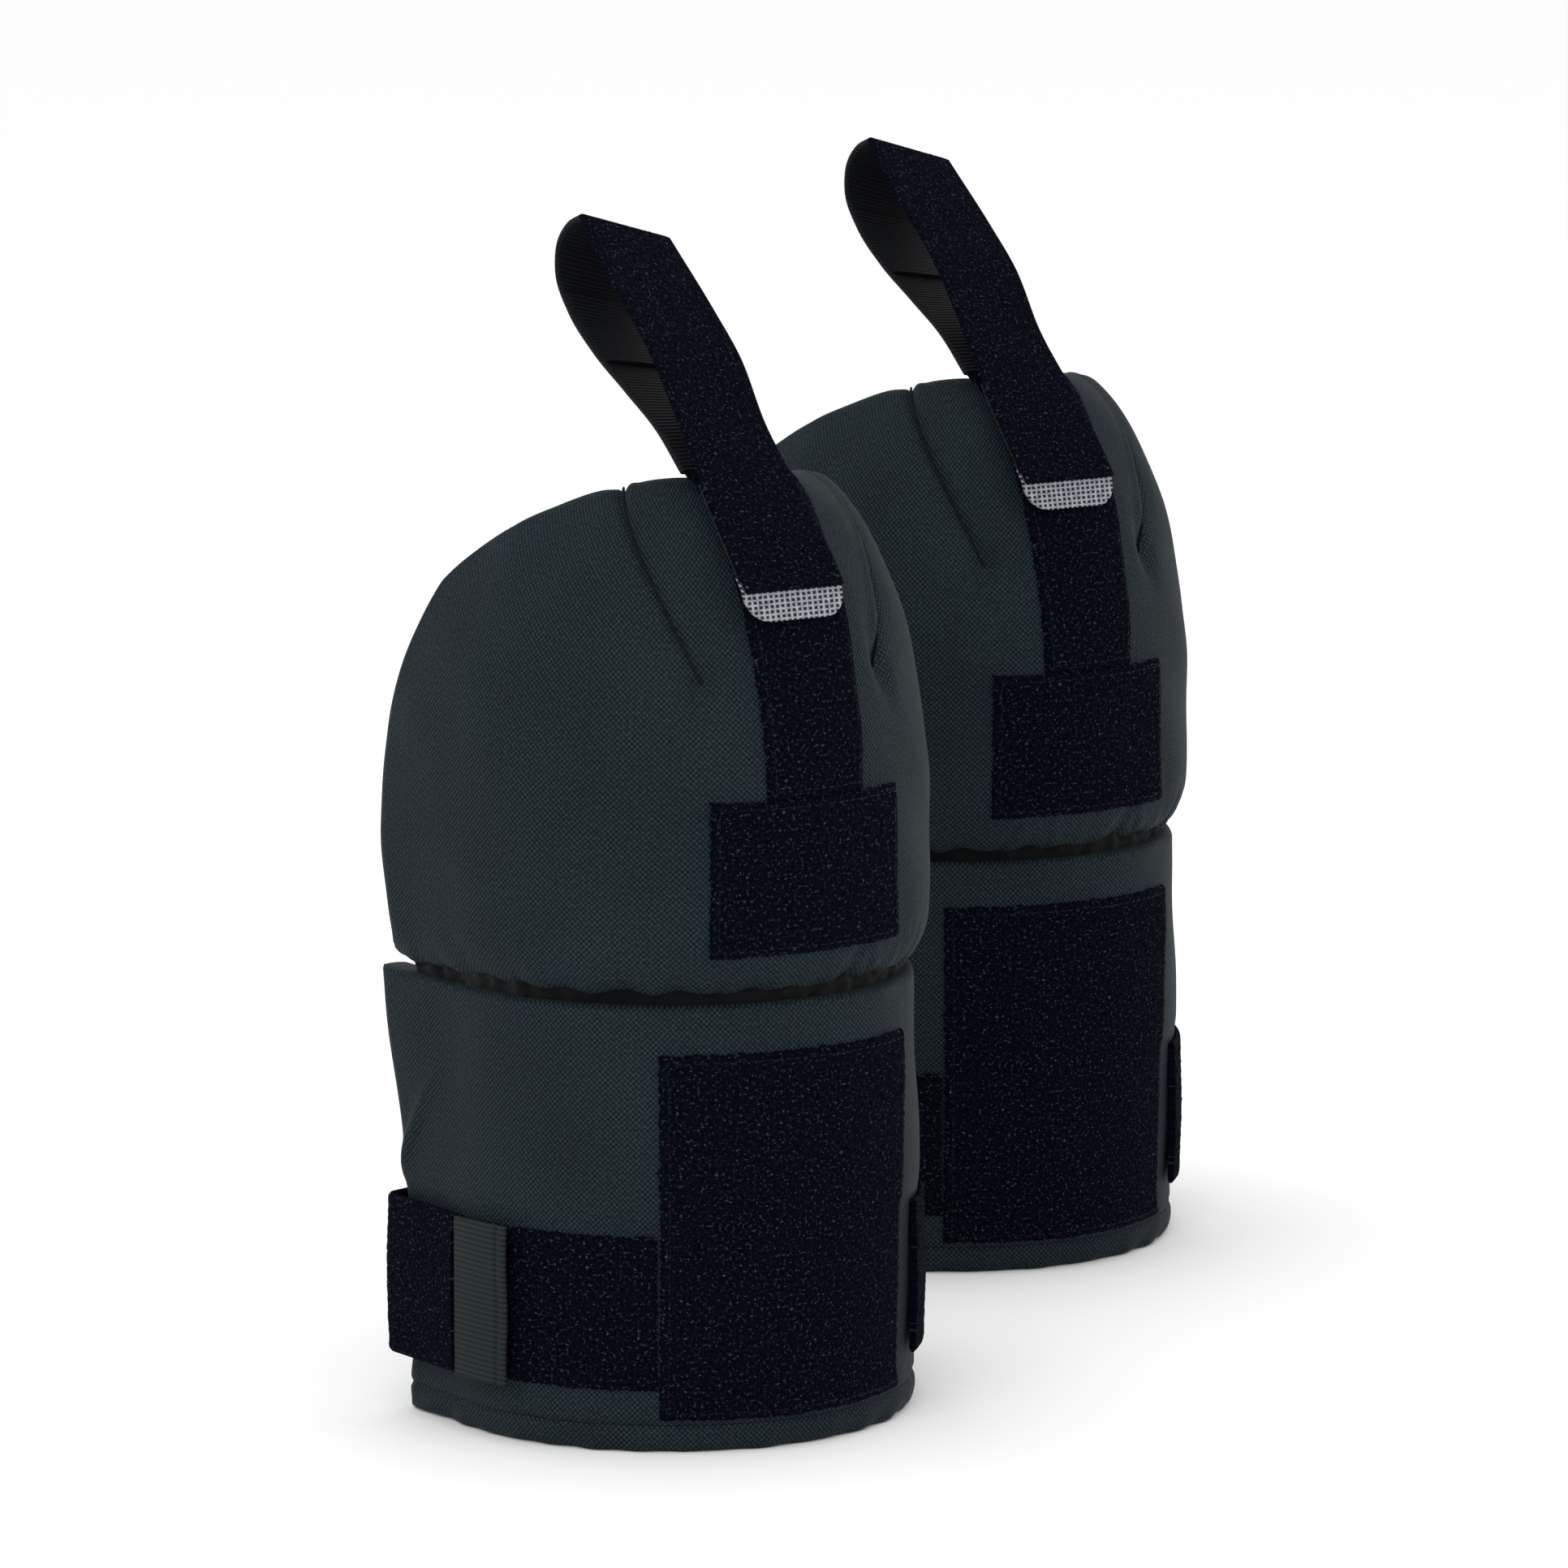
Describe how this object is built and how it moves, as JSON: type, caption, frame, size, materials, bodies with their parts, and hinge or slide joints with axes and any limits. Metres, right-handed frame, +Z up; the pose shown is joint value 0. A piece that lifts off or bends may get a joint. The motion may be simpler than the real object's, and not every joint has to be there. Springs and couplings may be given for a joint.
{
  "type": "knee pads",
  "caption": "Soft wrap-round knee and shin pads that bend at a crease, with a calf strap and a belt loop.",
  "frame": {"origin": "on the floor, under the middle of the pair's bounding box", "axes": "+Z up, the pads face -Y, +X from the nearer pad to the other along the row of pads, and the wearer's right"},
  "size_m": [0.4019, 0.3084, 0.3913],
  "materials": {
    "cover_nylon": "coarse plain weave, matt",
    "foam": "closed-cell foam, matt",
    "lining_knit": "fine knit, matt",
    "loop_pile": "brushed loop pile",
    "strap_elastic": "loop-faced woven elastic",
    "hook_tape": "moulded hooks",
    "grosgrain": "ribbed webbing",
    "grip_webbing": "open light grey weave",
    "thread": "twisted polyester thread"
  },
  "bodies": {
    "left_shin_panel": {"left_lower_cover": "cover_nylon", "left_lower_foam": "foam", "left_lower_lining": "lining_knit", "left_shin_patch": "loop_pile", "left_side_strip": "loop_pile", "left_lower_stitching": "thread", "left_strap_anchor": "strap_elastic", "left_knee_gusset": "cover_nylon"},
    "left_knee_panel": {"left_upper_cover": "cover_nylon", "left_upper_foam": "foam", "left_upper_lining": "lining_knit", "left_knee_patch": "loop_pile", "left_front_strip": "loop_pile", "left_upper_stitching": "thread"},
    "left_strap_back": {"left_calf_strap_back": "strap_elastic"},
    "left_strap_end": {"left_calf_strap_end": "strap_elastic", "left_strap_hook_patch": "hook_tape"},
    "left_pull_tab": {"left_strap_pull_tab": "grosgrain"},
    "left_loop_back": {"left_loop_back_limb": "strap_elastic", "left_loop_fold_webbing": "grosgrain"},
    "left_loop_front": {"left_loop_front_limb": "loop_pile", "left_loop_hook_tape": "hook_tape", "left_loop_end_tab": "grip_webbing"},
    "right_shin_panel": {"right_lower_cover": "cover_nylon", "right_lower_foam": "foam", "right_lower_lining": "lining_knit", "right_shin_patch": "loop_pile", "right_side_strip": "loop_pile", "right_lower_stitching": "thread", "right_strap_anchor": "strap_elastic", "right_knee_gusset": "cover_nylon"},
    "right_knee_panel": {"right_upper_cover": "cover_nylon", "right_upper_foam": "foam", "right_upper_lining": "lining_knit", "right_knee_patch": "loop_pile", "right_front_strip": "loop_pile", "right_upper_stitching": "thread"},
    "right_strap_back": {"right_calf_strap_back": "strap_elastic"},
    "right_strap_end": {"right_calf_strap_end": "strap_elastic", "right_strap_hook_patch": "hook_tape"},
    "right_pull_tab": {"right_strap_pull_tab": "grosgrain"},
    "right_loop_back": {"right_loop_back_limb": "strap_elastic", "right_loop_fold_webbing": "grosgrain"},
    "right_loop_front": {"right_loop_front_limb": "loop_pile", "right_loop_hook_tape": "hook_tape", "right_loop_end_tab": "grip_webbing"}
  },
  "joints": [
    {"name": "left_knee_bend", "type": "hinge", "parent": "left_shin_panel", "child": "left_knee_panel", "pos_m": [-0.11576, -0.14808, 0.145], "axis": [-1, 0, 0], "range_deg": [0, 45], "deforming": ["left_knee_gusset"]},
    {"name": "left_strap_swing", "type": "hinge", "parent": "left_shin_panel", "child": "left_strap_back", "pos_m": [-0.03446, -0.02508, 0.045], "axis": [0, 0, -1], "range_deg": [0, 100]},
    {"name": "left_strap_end_swing", "type": "hinge", "parent": "left_strap_back", "child": "left_strap_end", "pos_m": [-0.19966, -0.02508, 0.045], "axis": [0, 0, -1], "range_deg": [0, 90]},
    {"name": "left_pull_tab_lift", "type": "hinge", "parent": "left_strap_end", "child": "left_pull_tab", "pos_m": [-0.19916, -0.06848, 0.045], "axis": [0, 0, -1], "range_deg": [0, 60]},
    {"name": "left_loop_swing", "type": "hinge", "parent": "left_knee_panel", "child": "left_loop_back", "pos_m": [-0.12026, -0.10708, 0.3145], "axis": [-1, 0, 0], "range_deg": [0, 30]},
    {"name": "left_loop_open", "type": "hinge", "parent": "left_loop_back", "child": "left_loop_front", "pos_m": [-0.12026, -0.05518, 0.3894], "axis": [-1, 0, 0], "range_deg": [0, 100]},
    {"name": "right_pad_set_apart", "type": "slide", "parent": "left_shin_panel", "child": "right_shin_panel", "axis": [1, 0, 0], "range_m": [0, 0.15]},
    {"name": "right_knee_bend", "type": "hinge", "parent": "right_shin_panel", "child": "right_knee_panel", "pos_m": [0.11724, 0.01792, 0.145], "axis": [-1, 0, 0], "range_deg": [0, 45], "deforming": ["right_knee_gusset"]},
    {"name": "right_strap_swing", "type": "hinge", "parent": "right_shin_panel", "child": "right_strap_back", "pos_m": [0.19854, 0.14092, 0.045], "axis": [0, 0, -1], "range_deg": [0, 100]},
    {"name": "right_strap_end_swing", "type": "hinge", "parent": "right_strap_back", "child": "right_strap_end", "pos_m": [0.03334, 0.14092, 0.045], "axis": [0, 0, -1], "range_deg": [0, 90]},
    {"name": "right_pull_tab_lift", "type": "hinge", "parent": "right_strap_end", "child": "right_pull_tab", "pos_m": [0.03384, 0.09752, 0.045], "axis": [0, 0, -1], "range_deg": [0, 60]},
    {"name": "right_loop_swing", "type": "hinge", "parent": "right_knee_panel", "child": "right_loop_back", "pos_m": [0.11274, 0.05892, 0.3145], "axis": [-1, 0, 0], "range_deg": [0, 30]},
    {"name": "right_loop_open", "type": "hinge", "parent": "right_loop_back", "child": "right_loop_front", "pos_m": [0.11274, 0.11082, 0.3894], "axis": [-1, 0, 0], "range_deg": [0, 100]}
  ]
}
